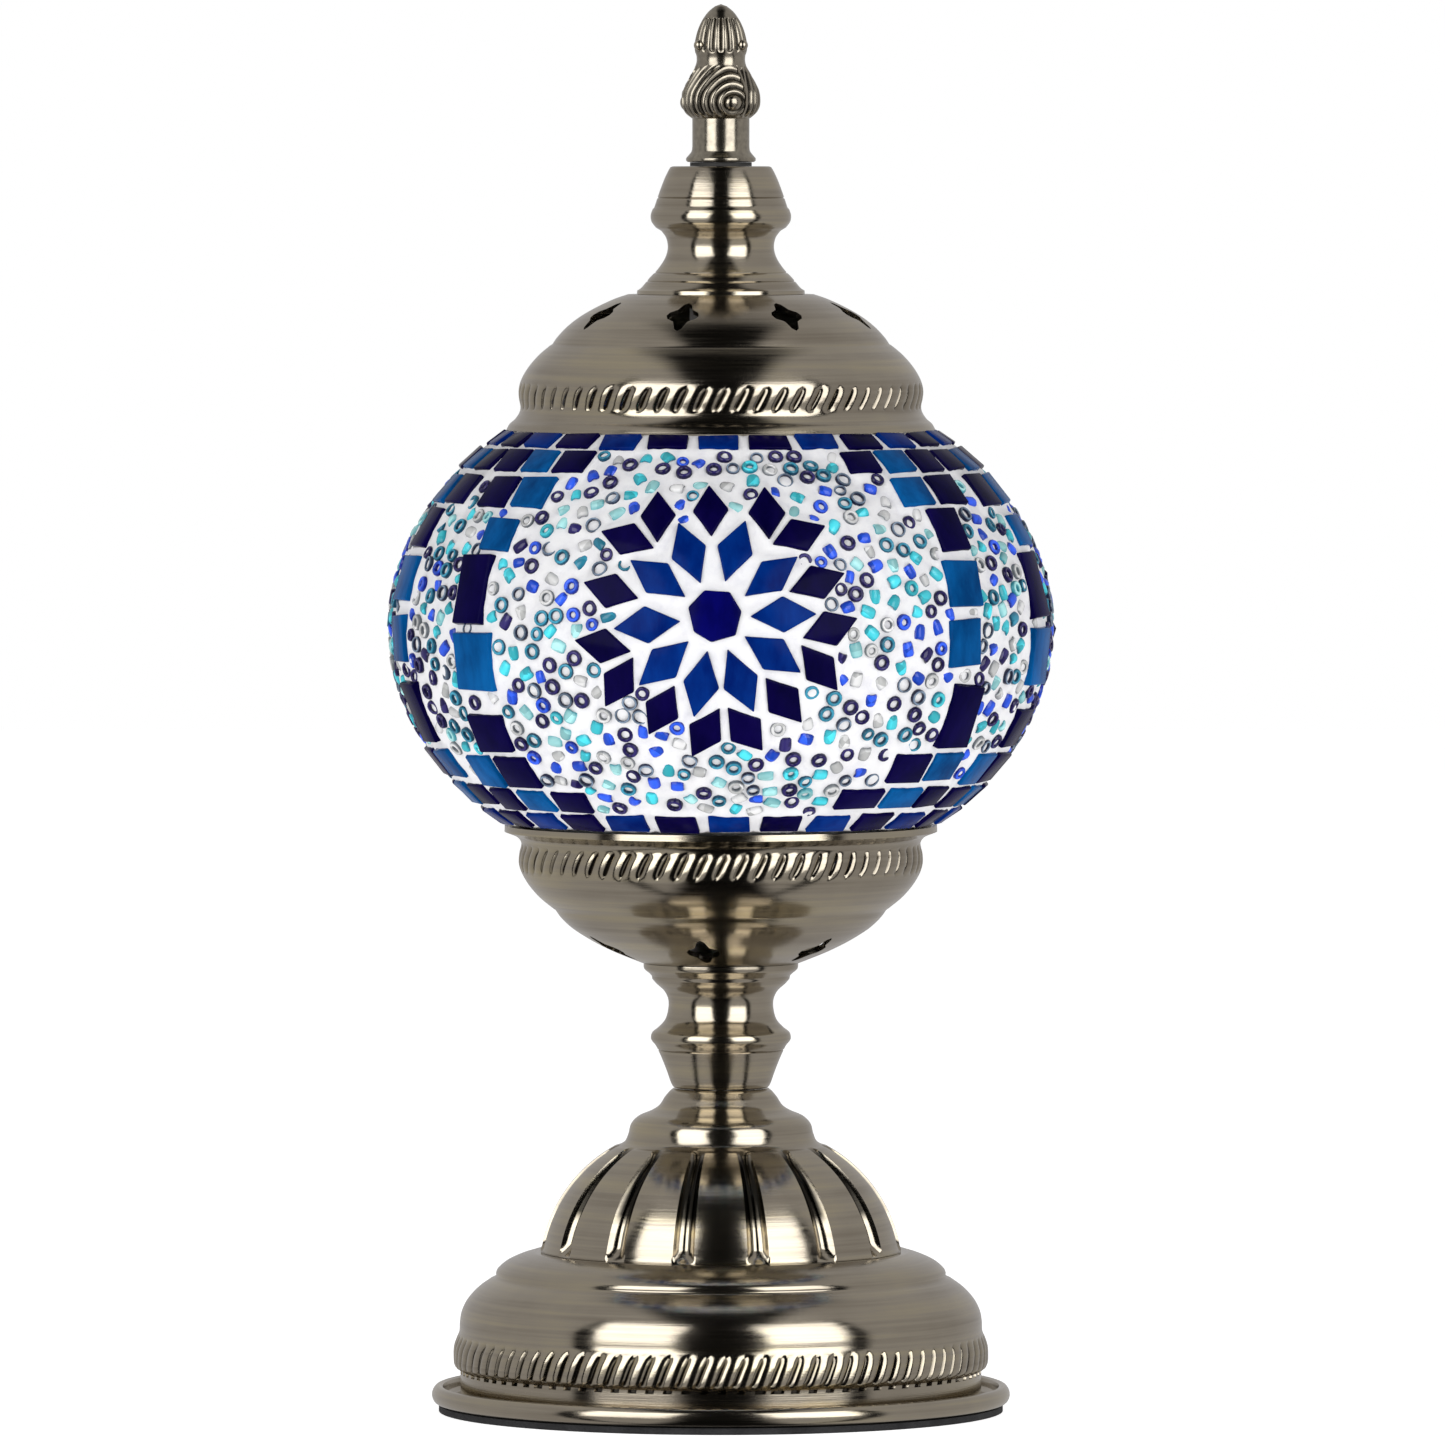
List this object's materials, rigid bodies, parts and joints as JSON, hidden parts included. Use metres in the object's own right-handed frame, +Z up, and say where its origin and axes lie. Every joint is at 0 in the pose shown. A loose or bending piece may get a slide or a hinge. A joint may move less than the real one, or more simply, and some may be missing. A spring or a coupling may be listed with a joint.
{
  "type": "mosaic glass table lamp",
  "caption": "Table lamp with a squat mosaic glass globe of tile flowers and seed beads between turned antique brass cap, stem and fluted domed base.",
  "frame": {"origin": "centre of the underside of the felt pad, on the table", "axes": "+Z up along the lamp's axis to the finial; the flower seen in the picture faces -Y, and the cord inlet is at the back, +Y"},
  "size_m": [0.1239, 0.1244, 0.26],
  "materials": {
    "felt": "black felt",
    "antique_brass": "satin antique brass plating, brushed round the axis",
    "zinc_steel": "zinc plated",
    "cast_ballast": "as cast",
    "black_rubber": "matt",
    "white_plastic": "moulded",
    "brown_wire": "insulated wire",
    "blue_wire": "insulated wire",
    "black_plastic": "phenolic",
    "white_ceramic": "glazed ceramic",
    "bright_brass": "bright",
    "nickel": "nickel plated",
    "bulb_glass": "clear",
    "filament": "phosphor coated",
    "frosted_glass": "frosted blown glass",
    "white_grout": "set grout",
    "navy_glass": "cut stained glass",
    "blue_glass": "cut stained glass"
  },
  "bodies": {
    "stand": {"felt_pad": "felt", "base_pan": "antique_brass", "pan_screws": "zinc_steel", "ballast_ring": "cast_ballast", "base_shell": "antique_brass", "cord_grommet": "black_rubber", "fluted_dome": "antique_brass", "clamp_disc": "zinc_steel", "clamp_washer": "zinc_steel", "clamp_nut": "zinc_steel", "terminal_block": "white_plastic", "terminal_screws": "zinc_steel", "live_lead": "brown_wire", "neutral_lead": "blue_wire", "stem_pipe": "zinc_steel", "stem_spindle": "antique_brass", "gallery": "antique_brass", "gallery_washer": "zinc_steel", "harp": "zinc_steel", "gallery_nut": "zinc_steel", "harp_stud": "zinc_steel", "stud_nuts": "zinc_steel", "socket_cap": "black_plastic", "socket_body": "white_ceramic", "socket_skirt": "black_plastic", "screw_sleeve": "bright_brass", "contact_spring": "zinc_steel", "socket_terminals": "zinc_steel"},
    "contact_plunger": {"contact_plunger": "bright_brass"},
    "bulb": {"bulb_cap": "nickel", "bulb_insulator": "black_plastic", "bulb_contact": "nickel", "bulb_glass": "bulb_glass", "bulb_stem": "bulb_glass", "bulb_filament": "filament"},
    "globe": {"globe_glass": "frosted_glass", "mosaic_grout": "white_grout", "flower_centres": "navy_glass", "inner_petals": "blue_glass", "outer_petals": "navy_glass", "pillar_tiles_navy": "navy_glass", "pillar_tiles_blue": "blue_glass", "rim_tiles_navy": "navy_glass", "rim_tiles_blue": "blue_glass"},
    "top_cap": {"top_cap": "antique_brass", "top_spindle": "antique_brass"},
    "finial_washer": {"finial_washer": "black_rubber"},
    "finial": {"finial": "antique_brass"}
  },
  "joints": [
    {"name": "globe_lift", "type": "slide", "parent": "stand", "child": "globe", "axis": [0, 0, 1], "range_m": [0, 0.136]},
    {"name": "cap_lift", "type": "slide", "parent": "globe", "child": "top_cap", "axis": [0, 0, 1], "range_m": [0, 0.05]},
    {"name": "finial_turn", "type": "hinge", "parent": "top_cap", "child": "finial_washer", "pos_m": [0, 0, 0.2305], "axis": [0, 0, 1], "range_deg": [0, 3600]},
    {"name": "finial_rise", "type": "slide", "parent": "finial_washer", "child": "finial", "axis": [0, 0, 1], "range_m": [0, 0.01]},
    {"name": "bulb_turn", "type": "hinge", "parent": "stand", "child": "contact_plunger", "pos_m": [0, 0, 0.106], "axis": [0, 0, 1], "range_deg": [0, 1080]},
    {"name": "bulb_rise", "type": "slide", "parent": "contact_plunger", "child": "bulb", "axis": [0, 0, 1], "range_m": [0, 0.0085]}
  ],
  "couplings": [
    {"joint": "finial_rise", "follows": "finial_turn", "m_per_rad": 0.00015915},
    {"joint": "bulb_rise", "follows": "bulb_turn", "m_per_rad": 0.00044882}
  ]
}
